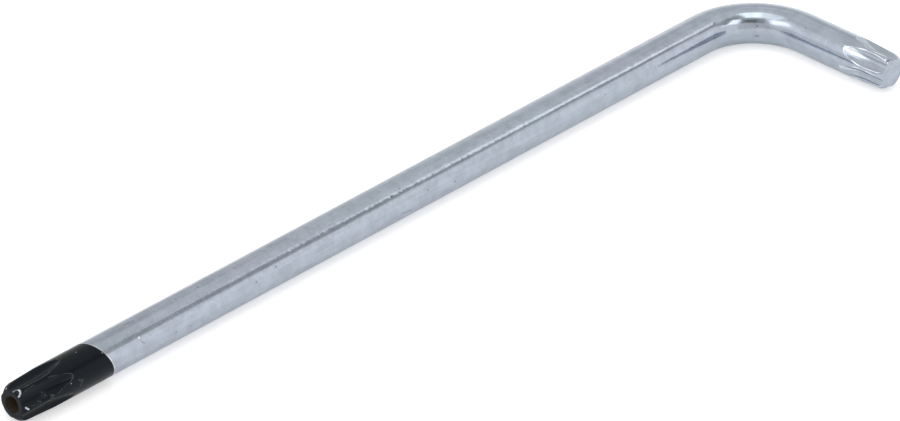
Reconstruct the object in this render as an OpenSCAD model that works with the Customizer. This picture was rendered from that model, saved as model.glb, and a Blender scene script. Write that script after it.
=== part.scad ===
// Bent star key, with a drilled point on its long arm and a plain point on its short arm.
// The key is one round steel bar. It lies flat on z = 0, with its long arm along +X and its short arm along +Y.
// The origin is on the floor, under the middle of the whole key.

/* [Bar] */
// Diameter of the round bar
bar_d = 7; // [6.9:0.05:7.6]
// Long arm, from its end to the outside of the corner
long_len = 178.6; // [110:0.1:240]
// Short arm, from its end to the outside of the corner
short_len = 35.6; // [33:0.1:80]
// Radius of the bend, on the inside of the corner
bend_inner_r = 9.1; // [5:0.1:11]

/* [Star] */
// Star size across its points
star_a = 6.7; // [6.55:0.01:6.75]
// Star size across its hollows
star_b = 4.85; // [4.7:0.01:4.95]
// Radius of its rounded points
lobe_r = 0.55; // [0.5:0.01:0.6]

/* [Drilled point] */
// Straight length of the flutes
drilled_flute = 4; // [3:0.1:6]
// Radius on which the flutes run out of the bar
drilled_runout_r = 20; // [12:0.5:24]
// Turn of the first flute, from straight up towards the inside of the corner
drilled_turn = 56; // [0:1:59]
// Diameter of the pin hole
pin_hole_d = 2.9; // [2.6:0.05:3.3]
// Depth of the pin hole, to the end of its full width
pin_hole_depth = 5; // [3:0.1:8]

/* [Plain point] */
// Straight length of the flutes
plain_flute = 3.4; // [2.5:0.1:4]
// Radius on which the flutes run out of the bar
plain_runout_r = 14; // [12:0.5:20]
// Turn of the first flute, from straight up towards the inside of the corner
plain_turn = 48; // [0:1:59]

/* [Ends] */
// Length that is turned to a slight taper, up to the end
taper_len = 6.8; // [6:0.1:7.5]
// Diameter where the taper meets the rounding of the end
tip_d = 6.5; // [6.3:0.05:6.6]
// Length of that rounding, along the bar
round_len = 1.6; // [1:0.1:1.8]
// Diameter of the flat face at the end
face_d = 4.4; // [4.2:0.1:5]
// Width of the bevel round the mouth of the pin hole
mouth_bevel = 0.05; // [0.05:0.05:0.25]

/* [Black finish] */
// Length of the black finish from the end of the long arm, along the middle of the bar
coat_len = 17.8; // [17:0.1:40]
// Lean of the line where the black finish ends
coat_lean = 22; // [0:1:25]
// Side where that line lies nearest the end, from straight up towards the outside of the corner
coat_lean_turn = 46; // [0:1:90]

/* [Hidden] */
$fn = 96;
bar_r = bar_d / 2;
bend_r = bend_inner_r + bar_r;
// Lengths of the arms from the corner, which is where the middles of the two arms would cross
long_axis = long_len - bar_r;
short_axis = short_len - bar_r;
corner = [bar_r - long_len / 2, bar_r - short_len / 2, bar_r];
// Six points, and so one flute every sixth of a turn
points = 6;
pitch = 360 / points;
// Circle on which the rounded points are centred, and the flute radius that meets them smoothly
lobe_at = star_a / 2 - lobe_r;
flute_r = (pow(lobe_r, 2) - pow(lobe_at, 2) - pow(star_b / 2, 2) + lobe_at * cos(pitch / 2) * star_b)
    / (star_b - 2 * lobe_at * cos(pitch / 2) - 2 * lobe_r);
flute_at = star_b / 2 + flute_r;
lobe_x = lobe_at * sin(pitch / 2);
lobe_y = lobe_at * cos(pitch / 2);
// Half angle of the flute's arc, where it meets the points
flute_arc = atan2(lobe_x, flute_at - lobe_y);
// The arc of a point stops at this angle from its middle, where the turned stock leaves a narrow crest
lobe_stop = 18;
flute_steps = 10;
lobe_steps = 5;
end_steps = 6;
// Room that a cutter has past the surface it leaves
over = 1;
drill_tip_angle = 118;
plain_len = plain_flute + runout_len(plain_runout_r) + over;

// Length along the bar in which a flute of this run-out radius rises to the bar's surface
function runout_len(r) = sqrt(pow(r, 2) - pow(r - (bar_r - star_b / 2), 2));

// One side of a flute as [across, outwards], from the bottom of the flute to past the bar's surface
function flute_side() = let (edge = lobe_stop - pitch / 2) concat(
    [for (i = [0:flute_steps]) let (a = flute_arc * i / flute_steps)
        [flute_r * sin(a), flute_at - flute_r * cos(a)]],
    [for (i = [1:lobe_steps]) let (a = flute_arc + (edge - flute_arc) * i / lobe_steps)
        [lobe_x - lobe_r * sin(a), lobe_y + lobe_r * cos(a)]],
    [[lobe_x - lobe_r * sin(edge), lobe_y + lobe_r * cos(edge)] + 2 * over * [sin(pitch / 2), cos(pitch / 2)]]
);

// Whole outline of what a flute takes away
function flute_outline() = let (side = flute_side(), last = len(side) - 1)
    concat(side, [for (i = [last:-1:1]) [-side[i].x, side[i].y]]);

// Frames of the arms: their z runs from the corner to the end, and their y is up
module along_long_arm() translate(corner) rotate([90, 0, 90]) children();
module along_short_arm() translate(corner) rotate([90, 0, 180]) children();

// Cutter of one flute, straight to the end at z = len and run out on an arc below that
module flute(len, straight, runout_r) {
    arc_at = star_b / 2 + runout_r;
    sweep = acos(1 - (bar_r - star_b / 2 + over / 3) / runout_r);
    translate([0, 0, len - straight]) linear_extrude(straight + over) polygon(flute_outline());
    translate([0, arc_at, len - straight]) rotate([-90, 0, 0]) rotate([0, 90, 0])
        rotate_extrude(angle = sweep) polygon([for (p = flute_outline()) [arc_at - p.y, p.x]]);
}

// Round stock from z = start to z = len, tapered and rounded at its end
module stock(start, len) {
    face_r = face_d / 2;
    rotate_extrude() polygon(concat(
        [[0, start], [bar_r, start], [bar_r, len - taper_len]],
        [for (i = [0:end_steps]) let (a = 90 * i / end_steps)
            [face_r + (tip_d / 2 - face_r) * cos(a), len + round_len * (sin(a) - 1)]],
        [[0, len]]
    ));
}

// Six-lobe point on the end of the stock
module star(start, len, straight, runout_r, turn) {
    difference() {
        stock(start, len);
        for (i = [0:points - 1]) rotate([0, 0, turn + pitch * i]) flute(len, straight, runout_r);
    }
}

// Blind hole for the pin in the middle of a tamper-resistant screw
module pin_hole(len) {
    r = pin_hole_d / 2;
    tip = r / tan(drill_tip_angle / 2);
    translate([0, 0, len - pin_hole_depth]) cylinder(r = r, h = pin_hole_depth + over);
    translate([0, 0, len - pin_hole_depth - tip]) cylinder(r1 = 0, r2 = r, h = tip);
    translate([0, 0, len - mouth_bevel]) cylinder(r1 = r, r2 = r + mouth_bevel + over, h = mouth_bevel + over);
}

// Everything on the end's side of the leaning line where the black finish ends
module coated_side() {
    reach = coat_len + bar_d;
    translate([0, 0, long_axis - coat_len]) rotate([0, 0, coat_lean_turn]) rotate([coat_lean, 0, 0])
        translate([-reach, -reach, 0]) cube([2 * reach, 2 * reach, reach]);
}

module long_shank() {
    color("lightsteelblue") along_long_arm() difference() {
        translate([0, 0, bend_r]) cylinder(r = bar_r, h = long_axis - bend_r);
        coated_side();
    }
}

module bend() {
    color("lightsteelblue") translate(corner + [bend_r, bend_r, 0])
        rotate([0, 0, 180]) rotate_extrude(angle = 90) translate([bend_r, 0]) circle(r = bar_r);
}

module short_shank() {
    color("lightsteelblue") along_short_arm()
        translate([0, 0, bend_r]) cylinder(r = bar_r, h = short_axis - bend_r - plain_len);
}

module drilled_point() {
    color([0.13, 0.13, 0.14]) along_long_arm() difference() {
        intersection() {
            star(long_axis - 2 * coat_len, long_axis, drilled_flute, drilled_runout_r, -drilled_turn);
            coated_side();
        }
        pin_hole(long_axis);
    }
}

module plain_point() {
    color("lightsteelblue") along_short_arm()
        star(short_axis - plain_len, short_axis, plain_flute, plain_runout_r, plain_turn);
}

long_shank();
bend();
short_shank();
drilled_point();
plain_point();
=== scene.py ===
"""Star key: a bright chromed bar bent into an L, with a black drilled point and a plain point."""

import math

import bpy
import numpy as np
from mathutils import Matrix, Vector


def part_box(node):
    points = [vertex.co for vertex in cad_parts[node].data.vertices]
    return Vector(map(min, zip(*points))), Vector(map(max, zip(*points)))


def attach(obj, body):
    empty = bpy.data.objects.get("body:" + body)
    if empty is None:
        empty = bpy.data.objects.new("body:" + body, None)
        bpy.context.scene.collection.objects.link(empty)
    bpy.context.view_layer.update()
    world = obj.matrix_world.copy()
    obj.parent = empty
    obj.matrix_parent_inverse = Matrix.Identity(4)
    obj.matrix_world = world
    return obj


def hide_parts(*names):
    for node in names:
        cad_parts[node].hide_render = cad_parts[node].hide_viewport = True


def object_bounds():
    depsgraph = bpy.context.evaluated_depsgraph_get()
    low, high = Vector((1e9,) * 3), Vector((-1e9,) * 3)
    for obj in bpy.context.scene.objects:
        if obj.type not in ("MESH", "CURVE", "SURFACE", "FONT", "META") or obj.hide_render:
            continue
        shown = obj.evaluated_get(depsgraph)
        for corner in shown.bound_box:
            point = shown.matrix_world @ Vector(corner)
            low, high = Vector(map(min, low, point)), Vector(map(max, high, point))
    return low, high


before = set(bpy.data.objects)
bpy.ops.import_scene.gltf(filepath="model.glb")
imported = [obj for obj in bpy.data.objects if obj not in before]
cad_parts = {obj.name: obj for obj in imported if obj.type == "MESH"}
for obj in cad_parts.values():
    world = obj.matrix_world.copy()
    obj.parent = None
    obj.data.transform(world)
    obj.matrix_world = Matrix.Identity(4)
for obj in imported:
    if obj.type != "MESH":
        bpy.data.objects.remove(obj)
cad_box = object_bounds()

MM = 0.001
QUARTER = math.pi / 2
TO_DEGREES = 180 / math.pi

# Sizes that the frame gives
long_low, long_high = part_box("long_shank")
bend_low, bend_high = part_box("bend")
drilled_low, drilled_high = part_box("drilled_point")
plain_low, plain_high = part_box("plain_point")
BAR_R = (long_high.z - long_low.z) / 2
CORNER = Vector((cad_box[0].x + BAR_R, cad_box[0].y + BAR_R, BAR_R))
LONG_AXIS = drilled_high.x - CORNER.x
SHORT_AXIS = plain_high.y - CORNER.y
BEND_R = bend_high.x - CORNER.x
PLAIN_LEN = plain_high.y - plain_low.y

# Star, as in the source: across its points, across its hollows, radius of a point, half width of a crest
STAR_A = 6.7 * MM
STAR_B = 4.85 * MM
LOBE_R = 0.55 * MM
LAND = LOBE_R * math.sin(math.radians(18))
POINTS = 6
PITCH = 2 * math.pi / POINTS

# Turned ends, as in the source: slight taper, rounding and flat face
TAPER_LEN = 6.8 * MM
TIP_R = 3.25 * MM
ROUND_LEN = 1.6 * MM
FACE_R = 2.2 * MM

# Leaning line where the black finish ends, as in the source
COAT_LEN = 17.8 * MM
COAT_LEAN = math.radians(22)
COAT_TURN = math.radians(46)

# Pin hole, as in the source
HOLE_R = 1.45 * MM
HOLE_DEPTH = 5.0 * MM
HOLE_TIP = HOLE_R / math.tan(math.radians(59))
MOUTH_BEVEL = 0.05 * MM

# Fineness of the meshes
ROUND_STEPS = 192
BEND_STEPS = 96
POINT_STEPS = 480
ROW_GAP = 0.1 * MM
ROUND_ROWS = 22
LEAD_ROWS = 6

# Arms as across, up and along: across points to the inside of the corner, along to the arm's end
LONG_ARM = (Vector((0, 1, 0)), Vector((0, 0, 1)), Vector((1, 0, 0)))
SHORT_ARM = (Vector((1, 0, 0)), Vector((0, 0, 1)), Vector((0, 1, 0)))

# Camera that was fitted to the outline of the bar
CAMERA_AT = Vector((0.717693, 0.665566, 0.601511))
LOOK = Vector((-0.624573, -0.582971, -0.519667))
RIGHT = Vector((-0.686370, 0.727195, 0.009149))
DOWN = Vector((0.372565, 0.362398, -0.854320))
SENSOR = 36
LENS = 281.03


# Shader writing


class Field:
    """One output socket, with the signs that add Math nodes."""

    def __init__(self, sheet, socket):
        self.sheet = sheet
        self.socket = socket

    def __add__(self, other):
        return self.sheet.math("ADD", self, other)

    def __sub__(self, other):
        return self.sheet.math("SUBTRACT", self, other)

    def __rsub__(self, other):
        return self.sheet.math("SUBTRACT", other, self)

    def __mul__(self, other):
        return self.sheet.math("MULTIPLY", self, other)

    def __truediv__(self, other):
        return self.sheet.math("DIVIDE", self, other)

    __radd__ = __add__
    __rmul__ = __mul__


class Sheet:
    """The nodes of one material or of the world."""

    def __init__(self, owner):
        owner.use_nodes = True
        self.tree = owner.node_tree
        self.tree.nodes.clear()

    def add(self, kind, settings=None, inputs=None, output=0):
        """Adds a node and gives one of its outputs, or a list of them where output is a tuple."""
        node = self.tree.nodes.new(kind)
        for name, value in (settings or {}).items():
            setattr(node, name, value)
        for name, value in (inputs or {}).items():
            if isinstance(value, Field):
                self.tree.links.new(value.socket, node.inputs[name])
            else:
                node.inputs[name].default_value = value
        if not node.outputs:
            return node
        if isinstance(output, tuple):
            return [Field(self, node.outputs[each]) for each in output]
        return Field(self, node.outputs[output])

    def math(self, operation, *values):
        return self.add("ShaderNodeMath", {"operation": operation}, dict(enumerate(values)))

    def vector(self, operation, *values):
        """Vector Math that gives a vector."""
        return self.add("ShaderNodeVectorMath", {"operation": operation}, dict(enumerate(values)))

    def measure(self, operation, *values):
        """Vector Math that gives a number."""
        return self.add("ShaderNodeVectorMath", {"operation": operation}, dict(enumerate(values)), output=1)

    def split(self, vector):
        return self.add("ShaderNodeSeparateXYZ", {}, {0: vector}, output=(0, 1, 2))

    def mix(self, factor, first, second):
        """Colour between two colours."""
        return self.add("ShaderNodeMix", {"data_type": "RGBA"}, {0: factor, 6: first, 7: second}, output=2)

    def noise(self, place, scale, detail):
        return self.add("ShaderNodeTexNoise", {}, {"Vector": place, "Scale": scale, "Detail": detail})

    def own(self, attribute, output):
        """Attribute of the piece's own mesh: output 1 gives a vector, and output 2 a number."""
        return self.add("ShaderNodeAttribute", {"attribute_name": attribute}, output=output)

    def capped(self, value):
        return self.math("MINIMUM", value, 1.0)

    def step(self, value, low, high, to_low=0.0, to_high=1.0):
        """Goes smoothly from to_low at low to to_high at high."""
        inputs = {"Value": value, "From Min": low, "From Max": high, "To Min": to_low, "To Max": to_high}
        return self.add("ShaderNodeMapRange", {"interpolation_type": "SMOOTHSTEP"}, inputs)

    def window(self, value, low, high, soft):
        """One between low and high, and zero outside, with soft edges."""
        rise = self.step(value, low - soft / 2, low + soft / 2)
        fall = self.step(value, high - soft / 2, high + soft / 2)
        return rise * (1 - fall)


# Meshes


def deselect_all():
    if bpy.context.object and bpy.context.object.mode != "OBJECT":
        bpy.ops.object.mode_set(mode="OBJECT")
    bpy.ops.object.select_all(action="DESELECT")


def add_sweep(mesh):
    """Keeps each vertex's place across, up and along the whole bent bar, for streaks that follow it."""
    co = np.empty(len(mesh.vertices) * 3)
    mesh.vertices.foreach_get("co", co)
    x, y, z = (co.reshape(-1, 3) - np.array(CORNER)).T
    on_long, on_short = x > BEND_R, y > BEND_R
    in_bend = BEND_R - np.hypot(BEND_R - x, BEND_R - y)
    round_bend = BEND_R * np.arctan2(BEND_R - x, BEND_R - y)
    across = np.where(on_long, y, np.where(on_short, x, in_bend))
    along = np.where(on_long, BEND_R - x, np.where(on_short, BEND_R * (QUARTER - 1) + y, round_bend))
    attribute = mesh.attributes.new("sweep", "FLOAT_VECTOR", "POINT")
    attribute.data.foreach_set("vector", np.stack([across, z, along], axis=1).ravel().astype(np.float32))


def finish_piece(piece, name, node, material):
    """Merges and smooths a piece, gives it its finish, hangs it on the root and hides the CAD part that it
    stands for.
    """
    piece.name = name
    piece.data.name = name
    bpy.ops.object.select_all(action="DESELECT")
    piece.select_set(True)
    bpy.context.view_layer.objects.active = piece
    bpy.ops.object.transform_apply(location=True, rotation=True, scale=True)
    bpy.ops.object.mode_set(mode="EDIT")
    bpy.ops.mesh.select_all(action="SELECT")
    bpy.ops.mesh.remove_doubles(threshold=1e-7)
    bpy.ops.mesh.normals_make_consistent(inside=False)
    bpy.ops.object.mode_set(mode="OBJECT")
    bpy.ops.object.shade_smooth_by_angle(angle=math.radians(40))
    add_sweep(piece.data)
    piece.data.materials.clear()
    piece.data.materials.append(material)
    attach(piece, "root")
    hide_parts(node)
    piece.select_set(False)


def add_bar(arm, start, end):
    """Round bar along an arm, from start to end as distances from the corner."""
    along = arm[2]
    deselect_all()
    bpy.ops.mesh.primitive_cylinder_add(
        vertices=ROUND_STEPS,
        radius=BAR_R,
        depth=end - start,
        location=CORNER + along * (start + end) / 2,
        rotation=along.to_track_quat("Z", "Y").to_euler(),
    )
    return bpy.context.object


def coat_plane():
    """A place on the plane where the black finish ends, and the way that the plane faces."""
    lean = math.tan(COAT_LEAN)
    facing = Vector((1, lean * math.sin(COAT_TURN), -lean * math.cos(COAT_TURN)))
    return CORNER + Vector((LONG_AXIS - COAT_LEN, 0, 0)), facing.normalized()


def coat_line(turns):
    """Distance from the corner at which the black finish begins, at each turn from straight up."""
    return LONG_AXIS - COAT_LEN + math.tan(COAT_LEAN) * BAR_R * np.cos(turns + COAT_TURN)


def square_line(turns):
    """Distance from the corner at which the plain point begins, at each turn."""
    return np.full(len(turns), SHORT_AXIS - PLAIN_LEN)


def make_long_arm(material):
    """Bar that is cut off where the black finish begins."""
    piece = add_bar(LONG_ARM, BEND_R, LONG_AXIS)
    bpy.ops.object.mode_set(mode="EDIT")
    bpy.ops.mesh.select_all(action="SELECT")
    place, facing = coat_plane()
    bpy.ops.mesh.bisect(plane_co=place, plane_no=facing, use_fill=True, clear_outer=True)
    bpy.ops.object.mode_set(mode="OBJECT")
    finish_piece(piece, "long_arm_bar", "long_shank", material)


def make_bend(material):
    """Circle that is spun through the corner and closed at both ends."""
    deselect_all()
    bpy.ops.mesh.primitive_circle_add(
        vertices=ROUND_STEPS,
        radius=BAR_R,
        fill_type="NOTHING",
        location=CORNER + Vector((BEND_R, 0, 0)),
        rotation=(0, QUARTER, 0),
    )
    piece = bpy.context.object
    bpy.ops.object.transform_apply(location=True, rotation=True, scale=True)
    bpy.ops.object.mode_set(mode="EDIT")
    bpy.ops.mesh.select_all(action="SELECT")
    middle = CORNER + Vector((BEND_R, BEND_R, 0))
    bpy.ops.mesh.spin(steps=BEND_STEPS, angle=QUARTER, center=middle, axis=(0, 0, 1))
    bpy.ops.mesh.select_all(action="DESELECT")
    bpy.ops.mesh.select_non_manifold(extend=False)
    bpy.ops.mesh.edge_face_add()
    bpy.ops.object.mode_set(mode="OBJECT")
    finish_piece(piece, "bent_corner", "bend", material)


def make_short_arm(material):
    piece = add_bar(SHORT_ARM, BEND_R, SHORT_AXIS - PLAIN_LEN)
    finish_piece(piece, "short_arm_bar", "short_shank", material)


def from_flute(turns):
    """Turn from the middle of the nearest flute."""
    return (turns + PITCH / 2) % PITCH - PITCH / 2


def star_depth(across, out):
    """How far a point is outside the star, where out runs along the middle of a flute."""
    half = PITCH / 2
    lobe_at = STAR_A / 2 - LOBE_R
    lobe_x = lobe_at * math.sin(half)
    lobe_y = lobe_at * math.cos(half)
    flute_r = LOBE_R**2 - lobe_at**2 - (STAR_B / 2) ** 2 + lobe_y * STAR_B
    flute_r = flute_r / (STAR_B - 2 * lobe_y - 2 * LOBE_R)
    flute_at = STAR_B / 2 + flute_r
    flute_arc = math.atan2(lobe_x, flute_at - lobe_y)
    in_flute = np.arctan2(np.abs(across), flute_at - out) < flute_arc
    past_flute = flute_r - np.hypot(across, out - flute_at)
    past_lobe = np.hypot(np.abs(across) - lobe_x, out - lobe_y) - LOBE_R
    past_land = out * math.sin(half) - np.abs(across) * math.cos(half) - LAND
    return np.minimum(np.where(in_flute, past_flute, past_lobe), past_land)


def fluted_radius(turns, back, straight, runout_r):
    """Radius at which a ray from the middle of the bar meets the flutes, or the outermost one."""
    fold = from_flute(turns)
    arc_at = STAR_B / 2 + runout_r
    past = np.maximum(back - straight, 0)

    def outside(radius):
        across = radius * np.sin(fold)
        out = radius * np.cos(fold)
        return star_depth(across, arc_at - np.hypot(arc_at - out, past))

    innermost, outermost = STAR_B / 2 * 0.9, BAR_R * 1.4
    low = np.full_like(fold, innermost)
    high = np.full_like(fold, outermost)
    found = np.zeros(fold.shape, bool)
    tries = np.linspace(innermost, outermost, 48)
    for inner, outer in zip(tries[:-1], tries[1:]):
        crossing = ~found & (outside(np.full_like(fold, outer)) > 0)
        low[crossing] = inner
        high[crossing] = outer
        found |= crossing
    for _ in range(24):
        middle = (low + high) / 2
        past_skin = outside(middle) > 0
        high = np.where(past_skin, middle, high)
        low = np.where(past_skin, low, middle)
    return np.where(found, (low + high) / 2, outermost)


def stock_radius(back):
    """Radius of the turned stock: rounded end, slight taper, bar."""
    body = np.interp(back, [ROUND_LEN, TAPER_LEN], [TIP_R, BAR_R])
    lean = np.clip((ROUND_LEN - back) / ROUND_LEN, 0, 1)
    rounding = FACE_R + (TIP_R - FACE_R) * np.sqrt(1 - lean**2)
    return np.where(back < ROUND_LEN, rounding, body)


def flute_highlight_mask(turns, back, fluted_from):
    """Painted highlight in the flutes' run-outs: one where the cutter comes out of the first flute, a half
    in the others, and zero elsewhere.
    """
    across = np.abs(from_flute(turns) + math.radians(6)) * STAR_A / 2
    places = [fluted_from - reach * MM for reach in (5.4, 3.4, 1.9, 0.8)]
    half_width = np.interp(back, places, [0, 0.30 * MM, 0.55 * MM, 0.30 * MM])
    half_width[(back < places[0]) | (back > places[3] + 0.6 * MM)] = 0
    mask = np.clip((half_width - across) / (0.25 * MM) + 0.5, 0, 1) * (half_width > 0)
    return mask * np.where(np.round(turns / PITCH) % POINTS == 0, 1, 0.5)


def round_edges(radius, straight_rows):
    """Rounds the flutes' edges by about 0.1 mm, along the bar's straight rows and round all rows."""
    for _ in range(2):
        body = radius[:straight_rows]
        radius[1 : straight_rows - 1] = (body[:-2] + 2 * body[1:-1] + body[2:]) / 4
    for _ in range(8):
        radius = (np.roll(radius, 1, axis=1) + 2 * radius + np.roll(radius, -1, axis=1)) / 4
    return radius


def face_rings(bore):
    """Rings from the rim of the end face inwards, as distance behind the face and radius."""
    if not bore:
        return [(0, FACE_R * 0.66), (0, FACE_R * 0.33), (0, FACE_R * 0.04)]
    face = [(0, (FACE_R + HOLE_R + MOUTH_BEVEL) / 2), (0, HOLE_R + MOUTH_BEVEL), (MOUTH_BEVEL, HOLE_R)]
    wall = [(HOLE_DEPTH / 3, HOLE_R), (HOLE_DEPTH * 2 / 3, HOLE_R), (HOLE_DEPTH, HOLE_R)]
    return face + wall + [(HOLE_DEPTH + HOLE_TIP * 0.98, HOLE_R * 0.02)]


def make_point(name, node, material, arm, end, straight, runout_r, turn, start, bore):
    """Six-lobe point as one even skin from its start, over its end and into its hole."""
    across, up, along = (np.array(way) for way in arm)
    turns = np.arange(POINT_STEPS) * 2 * math.pi / POINT_STEPS
    runout_len = math.sqrt(runout_r**2 - (runout_r - (BAR_R - STAR_B / 2)) ** 2)
    fluted_from = straight + runout_len + 4 * ROW_GAP
    straight_rows = np.linspace(fluted_from, ROUND_LEN, int((fluted_from - ROUND_LEN) / ROW_GAP))
    round_rows = ROUND_LEN * (1 - np.sin(np.linspace(0, QUARTER, ROUND_ROWS)[1:]))
    back, turn_grid = np.meshgrid(np.concatenate([straight_rows, round_rows]), turns, indexing="ij")
    stock = stock_radius(back)
    flute = fluted_radius(turn_grid - turn, back, straight, runout_r)
    radius = round_edges(np.minimum(stock, flute), len(straight_rows))
    edge = np.clip(1 - np.abs(stock - flute) / (0.1 * MM), 0, 1)
    edge[back > fluted_from - 2 * ROW_GAP] = 0
    flute_highlight = flute_highlight_mask(turn_grid - turn, back, fluted_from)

    # Rows of plain bar come before the fluted rows, and the rings of the end face after them
    first = start(turns)
    lead = [end - (first + (end - fluted_from - first) * k / LEAD_ROWS) for k in range(LEAD_ROWS)]
    rings = [np.full((POINT_STEPS, 2), ring).T for ring in face_rings(bore)]
    back = np.array(lead + list(back) + [ring[0] for ring in rings])
    radius = np.array([np.full(POINT_STEPS, BAR_R)] * LEAD_ROWS + list(radius) + [ring[1] for ring in rings])
    margins = ((LEAD_ROWS, len(rings)), (0, 0))
    co = (
        np.array(CORNER)
        + (end - back)[..., None] * along
        + (radius * np.sin(turns))[..., None] * across
        + (radius * np.cos(turns))[..., None] * up
    ).reshape(-1, 3)

    rows = [range(j * POINT_STEPS, (j + 1) * POINT_STEPS) for j in range(len(back))]
    faces = []
    for row, next_row in zip(rows[:-1], rows[1:]):
        for i in range(POINT_STEPS):
            n = (i + 1) % POINT_STEPS
            faces.append((row[i], row[n], next_row[n], next_row[i]))
    faces += [tuple(rows[0]), tuple(rows[-1])]
    mesh = bpy.data.meshes.new(name)
    mesh.from_pydata(co.tolist(), [], faces)
    for title, values in (("edge", edge), ("flute_highlight", flute_highlight)):
        attribute = mesh.attributes.new(title, "FLOAT", "POINT")
        attribute.data.foreach_set("value", np.pad(values, margins).ravel().astype(np.float32))
    piece = bpy.data.objects.new(name, mesh)
    bpy.context.scene.collection.objects.link(piece)
    deselect_all()
    finish_piece(piece, name, node, material)


# Finishes


def on_long(along, turn, radius=BAR_R / MM):
    """Place by its distance from the corner, its turn in degrees from straight up and its radius, in mm."""
    across, up, ahead = LONG_ARM
    turn = math.radians(turn)
    return CORNER + (ahead * along + (across * math.sin(turn) + up * math.cos(turn)) * radius) * MM


def on_black(back, turn, radius=BAR_R / MM):
    """Place by its distance behind the black end, its turn and its radius, in mm."""
    return on_long(LONG_AXIS / MM - back, turn, radius)


def spot(sheet, place, centre, low, high, soft):
    """One between two distances from a place, in mm, and zero elsewhere."""
    return sheet.window(sheet.measure("DISTANCE", place, centre), low * MM, high * MM, soft * MM)


def dot(sheet, place, centre, size, soft):
    """One within size of a place, in mm, and zero elsewhere."""
    return spot(sheet, place, centre, -1000, size, soft)


def scratch(sheet, place, start, end, width):
    """One along a short line between two places, with its width in mm."""
    along = (end - start).normalized()
    reach = (end - start).length / 2
    offset = sheet.vector("SUBTRACT", place, (start + end) / 2)
    lengthways = sheet.measure("DOT_PRODUCT", offset, along)
    distance = sheet.measure("LENGTH", offset)
    across = sheet.math("SQRT", sheet.math("MAXIMUM", distance * distance - lengthways * lengthways, 0.0))
    near = 1 - sheet.step(across, width * MM * 0.35, width * MM * 0.75)
    return near * sheet.window(lengthways, -reach, reach, width * MM)


def new_material(name):
    """A material, its sheet and the place on the piece."""
    material = bpy.data.materials.new(name)
    sheet = Sheet(material)
    return material, sheet, sheet.add("ShaderNodeTexCoord", output="Object")


def plate_grain(sheet, place):
    """What all of the plate shares: its colour, shade and height, and the streaks along the bar."""
    sweep = sheet.own("sweep", 1)
    drawn = sheet.vector("MULTIPLY", sweep, (1, 1, 0.035))
    drawn_wide = sheet.vector("MULTIPLY", sweep, (1, 1, 0.12))
    streak = sheet.noise(drawn, 1500.0, 3.0)
    wave = sheet.noise(drawn_wide, 700.0, 3.0)
    cloud = sheet.noise(drawn_wide, 230.0, 2.0)
    mottle = sheet.noise(place, 520.0, 4.0)
    ripple = sheet.noise(place, 1100.0, 3.0)
    grain = sheet.noise(place, 2600.0, 2.0)
    from_cell, lot = sheet.add("ShaderNodeTexVoronoi", {}, {"Vector": place, "Scale": 420.0}, output=(0, 1))
    pits = (1 - sheet.step(from_cell, 0.05, 0.13)) * sheet.step(sheet.split(lot)[0], 0.84, 0.88)
    colour = sheet.mix(sheet.step(cloud, 0.35, 0.65), (0.456, 0.499, 0.579, 1), (0.448, 0.506, 0.574, 1))
    shade = sheet.step(mottle, 0.30, 0.70, -0.07, 0.07) + sheet.step(streak, 0.30, 0.70, -0.045, 0.045)
    shade = shade + sheet.step(grain, 0.30, 0.70, -0.03, 0.03) - pits * 0.22
    height = streak * 0.8 + wave * 1.5 + ripple * 1.3 + grain * 0.12 - pits * 0.35
    return colour, shade, height, streak


def plate_shader(sheet, colour, shade, height, streak):
    """Chrome of that colour, shade and height."""
    level = 1 + shade
    grey = sheet.add("ShaderNodeCombineXYZ", {}, {0: level, 1: level, 2: level})
    bump = sheet.add("ShaderNodeBump", {}, {"Strength": 1.0, "Distance": 0.012 * MM, "Height": height})
    inputs = {
        "Base Color": sheet.vector("MULTIPLY", colour, grey),
        "Metallic": 1.0,
        "Roughness": sheet.step(streak, 0.3, 0.7, 0.07, 0.12),
        "Normal": bump,
    }
    shader = sheet.add("ShaderNodeBsdfPrincipled", {}, inputs)
    sheet.add("ShaderNodeOutputMaterial", {}, {"Surface": shader})


def chrome(name):
    """Plate of the bar, with a painted highlight as a pale line beside the black finish, a painted glint as
    a bright spot, and the small marks of use.
    """
    material, sheet, place = new_material(name)
    colour, shade, height, streak = plate_grain(sheet, place)
    line_place, facing = coat_plane()
    line = facing.dot(line_place)
    ahead = sheet.measure("DOT_PRODUCT", place, facing) + (streak - 0.5) * 0.4 * MM
    # Painted highlight: a pale line on the plate just before the black finish, where the coat's lip catches
    # the light
    rim = sheet.step(ahead, line - 0.30 * MM, line - 0.05 * MM)
    # Painted glint: a bright spot on the plate
    painted_glint = dot(sheet, place, on_long(149.9, 51), 0.2, 0.16)
    ring = scratch(sheet, place, on_long(149.8, 62), on_long(149.2, 72), 0.26)

    marks = dot(sheet, place, CORNER + Vector((5.58, 6.42, 1.29)) * MM, 0.2, 0.2)
    for along, turn, size in (
        (134.2, 3, 0.20),
        (142.4, 88, 0.18),
        (139.1, 94, 0.16),
        (124.0, 70, 0.22),
        (119.2, 58, 0.20),
        (91.5, 38, 0.26),
        (89.2, 31, 0.20),
        (84.0, 71, 0.20),
        (77.7, 87, 0.22),
        (40.7, 70, 0.20),
    ):
        marks = marks + dot(sheet, place, on_long(along, turn), size, size)
    marks = marks + scratch(sheet, place, on_long(150.6, -4), on_long(148.3, 0), 0.26)
    marks = marks + scratch(sheet, place, on_long(90.4, 99), on_long(88.0, 103), 0.30)
    dash = CORNER + Vector((5.70, 6.60, -0.56)) * MM
    reach = Vector((0.28, -0.28, 0)) * MM
    marks = marks + scratch(sheet, place, dash - reach, dash + reach, 0.26) * 1.3

    # The painted highlight and the painted glint lift the plate's colour towards white
    colour = sheet.mix(sheet.capped(rim * 0.5 + painted_glint), colour, (0.86, 0.90, 0.95, 1))
    plate_shader(sheet, colour, shade - marks * 0.30 - ring * 0.22, height, streak)
    return material


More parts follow.
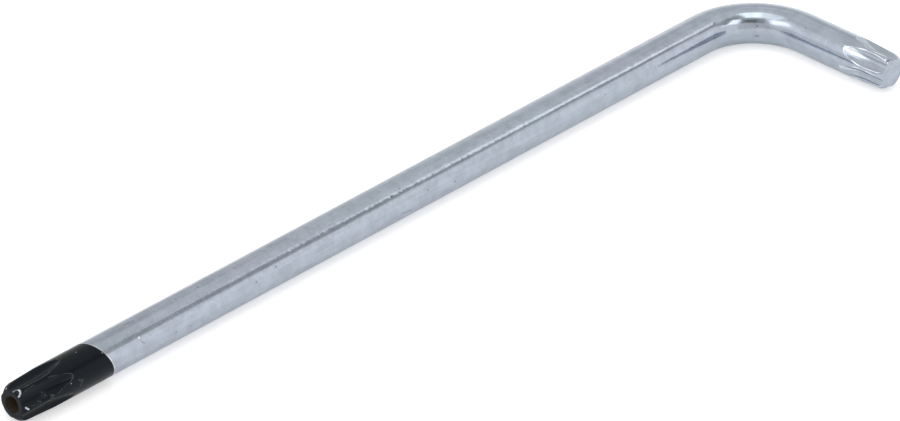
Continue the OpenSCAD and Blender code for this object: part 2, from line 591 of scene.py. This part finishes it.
def chrome_point(name):
    """Plate of the plain point, with painted highlights along its crests and where its cutter came out of
    the flutes.
    """
    material, sheet, place = new_material(name)
    edge = sheet.own("edge", 2)
    flute_highlight = sheet.own("flute_highlight", 2)
    colour, shade, height, streak = plate_grain(sheet, place)
    back = SHORT_AXIS + CORNER.y - sheet.split(place)[1]
    # Painted highlights: lines along the crests and white where the flutes run out, lifting the plate's
    # colour towards white
    crest_highlight = sheet.step(edge, 0.35, 0.8) * sheet.window(back, 0.35 * MM, 6.4 * MM, 0.5 * MM)
    painted_highlight = flute_highlight * sheet.step(streak, 0.25, 0.45, 0.7, 1.0) + crest_highlight * 0.8 + sheet.step(edge, 0.5, 0.9) * 0.2
    colour = sheet.mix(sheet.capped(painted_highlight), colour, (0.90, 0.94, 1.0, 1))
    plate_shader(sheet, colour, shade, height, streak)
    return material


def black_coat(name):
    """Black dip coat, rubbed grey on its rims with a painted edge highlight there that is fainter on the
    lower side, and chipped to the steel at its end.
    """
    material, sheet, place = new_material(name)
    edge = sheet.own("edge", 2)
    worn = sheet.noise(place, 1100.0, 3.0)
    fine = sheet.noise(place, 3500.0, 3.0)
    cloud = sheet.noise(place, 350.0, 2.0)
    x, y, z = sheet.split(place)
    back = LONG_AXIS + CORNER.x - x
    off_y = y - CORNER.y
    off_z = z - CORNER.z
    from_axis = sheet.math("SQRT", off_y * off_y + off_z * off_z)

    # Rims: rubbed grey wear and a painted edge highlight, fainter on the lower side
    rim = sheet.step(edge + (worn - 0.5) * 1.6, 0.55, 0.90) * sheet.step(off_z, 0.0, 0.9 * MM, 0.25, 1.0)
    # The same rubbed grey and painted highlight at the end of the first flute's run-out
    main_tip = dot(sheet, place, on_black(9.7, 62), 1.5, 0.8)
    rim = rim + main_tip * sheet.step(edge + (worn - 0.5) * 0.8, 0.25, 0.6) * 0.7
    rubbed = dot(sheet, place, on_black(4.4, 70, 2.7), 0.55, 0.5)
    rubbed = rubbed + dot(sheet, place, on_black(5.6, 82), 0.5, 0.6)
    rubbed = rubbed + dot(sheet, place, on_black(3.0, 79, 3.2), 0.35, 0.4)
    rubbed = rubbed * sheet.step(fine, 0.45, 0.62)
    marks = scratch(sheet, place, on_black(12.2, 77), on_black(11.5, 95), 0.20)
    marks = marks + scratch(sheet, place, on_black(11.2, 74), on_black(11.8, 80), 0.20)
    marks = marks * sheet.step(worn, 0.3, 0.5)
    wear_and_highlight = sheet.capped(rim * 0.7 + rubbed * 0.7 + marks)

    arch = spot(sheet, place, on_black(0.2, 21, 2.55), 0.52, 0.78, 0.15)
    chips = arch * sheet.step(from_axis, 2.35 * MM, 2.6 * MM)
    chips = chips + scratch(sheet, place, on_black(0.3, 78, 2.8), on_black(0.75, 88, 3.1), 0.25)
    chips = chips + dot(sheet, place, on_black(0.15, -32, 2.7), 0.16, 0.16) * 0.7
    chips = chips + dot(sheet, place, on_black(0.85, -37, 3.1), 0.22, 0.2) * 0.6
    for centre in (on_black(13.83, 3), on_black(17.5, 41), on_black(9.67, 74)):
        chips = chips + dot(sheet, place, centre, 0.11, 0.12) * 0.5
    chips = sheet.capped(chips * sheet.step(worn, 0.25, 0.45))

    inside = (1 - sheet.step(from_axis, HOLE_R, HOLE_R + 0.06 * MM)) * sheet.step(back, 0.05 * MM, 0.2 * MM)
    colour = sheet.mix(cloud, (0.0008, 0.0022, 0.0035, 1), (0.0030, 0.0042, 0.0065, 1))
    colour = sheet.mix(wear_and_highlight, colour, (0.075, 0.072, 0.078, 1))
    colour = sheet.mix(inside, colour, (0.075, 0.056, 0.036, 1))
    bump = sheet.add(
        "ShaderNodeBump", {}, {"Strength": 0.25, "Distance": 0.02 * MM, "Height": worn + fine * 0.5}
    )
    coat_inputs = {
        "Base Color": colour,
        "Roughness": sheet.step(wear_and_highlight + fine * 0.3, 0.0, 1.2, 0.15, 0.6),
        "IOR": 1.30,
        "Specular Tint": (0.72, 0.86, 1.0, 1),
        "Normal": bump,
    }
    steel_inputs = {"Base Color": (0.62, 0.66, 0.70, 1), "Metallic": 0.6, "Roughness": 0.45}
    coat = sheet.add("ShaderNodeBsdfPrincipled", {}, coat_inputs)
    steel = sheet.add("ShaderNodeBsdfPrincipled", {}, steel_inputs)
    shader = sheet.add("ShaderNodeMixShader", {}, {0: chips, 1: coat, 2: steel})
    sheet.add("ShaderNodeOutputMaterial", {}, {"Surface": shader})
    return material


# Surroundings


def add_camera():
    data = bpy.data.cameras.new("camera")
    data.sensor_width = SENSOR
    data.lens = LENS
    data.clip_start = 0.01
    data.clip_end = 20
    camera = bpy.data.objects.new("camera", data)
    bpy.context.scene.collection.objects.link(camera)
    turn = Matrix((RIGHT, -DOWN, -LOOK)).transposed()
    camera.matrix_world = Matrix.Translation(CAMERA_AT) @ turn.to_4x4()
    bpy.context.scene.camera = camera


def add_floor():
    """Pale floor that looks white to the camera and keeps the key's shadow."""
    deselect_all()
    bpy.ops.mesh.primitive_plane_add(size=6, location=(0, 0, 0))
    floor = bpy.context.object
    floor.name = "floor"
    material = bpy.data.materials.new("floor")
    sheet = Sheet(material)
    rays = ("Is Camera Ray", "Is Glossy Ray", "Is Transmission Ray")
    seen, glossy, through = sheet.add("ShaderNodeLightPath", output=rays)
    strength = seen * 0.5 + glossy * 0.25 + through * 0.3
    matt = sheet.add("ShaderNodeBsdfDiffuse", {}, {"Color": (0.8, 0.8, 0.8, 1)})
    glow = sheet.add("ShaderNodeEmission", {}, {"Color": (1, 1, 1, 1), "Strength": strength})
    both = sheet.add("ShaderNodeAddShader", {}, {0: matt, 1: glow})
    sheet.add("ShaderNodeOutputMaterial", {}, {"Surface": both})
    floor.data.materials.append(material)


def light_world():
    """Soft box of a sky: pale panels and dark gaps, by azimuth from the camera and height, in degrees."""
    world = bpy.data.worlds.new("world")
    bpy.context.scene.world = world
    sheet = Sheet(world)
    x, y, z = sheet.split(sheet.add("ShaderNodeTexCoord", output="Generated"))
    turn = math.atan2(-LOOK.y, -LOOK.x)
    toward = x * math.cos(turn) + y * math.sin(turn)
    side = y * math.cos(turn) - x * math.sin(turn)
    azimuth = sheet.math("ARCTAN2", side, toward) * TO_DEGREES
    height = sheet.math("ARCSINE", z) * TO_DEGREES
    round_long_arm = sheet.math("ARCTAN2", y, z) * TO_DEGREES

    # Wall behind the key, lighter at its foot and towards the bend
    behind = sheet.step(sheet.math("ABSOLUTE", azimuth), 130, 165)
    horizon = sheet.step(height, -25, 35, 0.30, -0.10) * behind * sheet.step(x, -0.66, -0.60, 1, 0.2)
    pale_edge = sheet.step(x, -0.662, -0.640, 1, 0) * behind * sheet.step(height, 2, 28, 0.22, 0)
    far_dim = sheet.step(x, -0.63, -0.615) * behind * sheet.step(height, -20, 35, 0.17, -0.01)

    # Panel overhead, brighter on the short arm's side
    ceiling = sheet.window(toward / z, -0.04, 0.53, 0.12) * sheet.window(side / z, -0.5, 0.30, 0.12)
    ceiling = ceiling * sheet.step(z, 0.5, 0.8) * sheet.step(side / z, -0.12, 0.0, 0.6, 1.1)

    # Bright line on the long arm beside the bend, above its dark stripe
    stripe_low = sheet.step(x, -0.65, -0.608, 35.5, 24.5)
    near_bend = sheet.step(x, -0.672, -0.648) * sheet.step(x, -0.648, -0.603, 1, 0)
    near_bend = near_bend * sheet.window(round_long_arm - stripe_low, -15, -3, 4)
    tail = sheet.window(height + (azimuth - 60) * 0.3, 28, 34, 4) * sheet.window(azimuth, 56, 76, 10)

    level = 0.82 + horizon + pale_edge + ceiling + near_bend * 1.05 + tail * 0.5 - far_dim

    # Side panels and their spill: azimuth and height as low, high and softness, then strength
    for azimuths, heights, strength in (
        ((-72, -28, 12), (30, 51, 8), 0.85),
        ((-88, -22, 24), (18, 60, 14), 0.3),
        ((38, 60, 8), (31, 50, 7), 1.0),
        ((38, 100, 16), (-12, 34, 12), 0.2),
    ):
        level = level + sheet.window(azimuth, *azimuths) * sheet.window(height, *heights) * strength

    # Dark gap that the camera stands in, its deep middle, the shelf above it and the skirt below
    for azimuths, heights, strength in (
        ((-20, 36, 14), (31, 51, 7), 0.42),
        ((-2, 26, 10), (33, 50, 8), 0.5),
        ((-20, 80, 14), (50, 61, 5), 0.2),
        ((-36, 24, 20), (8, 32, 8), 0.12),
    ):
        level = level * (1 - sheet.window(azimuth, *azimuths) * sheet.window(height, *heights) * strength)

    # Dark stripes that run along the short arm and the long arm
    short_stripe = sheet.window(azimuth + height * 0.5, 81, 112, 8) * sheet.window(height, 31, 69, 8)
    long_stripe = sheet.window(round_long_arm, stripe_low, 43.5, 6)
    long_stripe = long_stripe * sheet.step(x, -0.592, -0.570, 1, 0.3) * sheet.step(x, -0.565, -0.54, 1, 0)
    far_dark = sheet.window(round_long_arm, -78, -22, 20) * sheet.window(x, -0.605, -0.545, 0.04)
    level = level * (1 - short_stripe * 0.36) * (1 - long_stripe * 0.46) * (1 - far_dark * 0.2)

    background = sheet.add("ShaderNodeBackground", {}, {"Color": (1, 1, 1, 1), "Strength": level})
    sheet.add("ShaderNodeOutputWorld", {}, {"Surface": background})


plated = chrome("chrome_plate")
plated_point = chrome_point("chrome_plate_point")
coated = black_coat("black_coat")

make_long_arm(plated)
make_bend(plated)
make_short_arm(plated)
make_point(
    "drilled_star_point",
    "drilled_point",
    coated,
    LONG_ARM,
    LONG_AXIS,
    straight=4 * MM,
    runout_r=20 * MM,
    turn=math.radians(56),
    start=coat_line,
    bore=True,
)
make_point(
    "plain_star_point",
    "plain_point",
    plated_point,
    SHORT_ARM,
    SHORT_AXIS,
    straight=3.4 * MM,
    runout_r=14 * MM,
    turn=math.radians(48),
    start=square_line,
    bore=False,
)

add_camera()
add_floor()
light_world()
bpy.context.scene.view_settings.view_transform = "Standard"
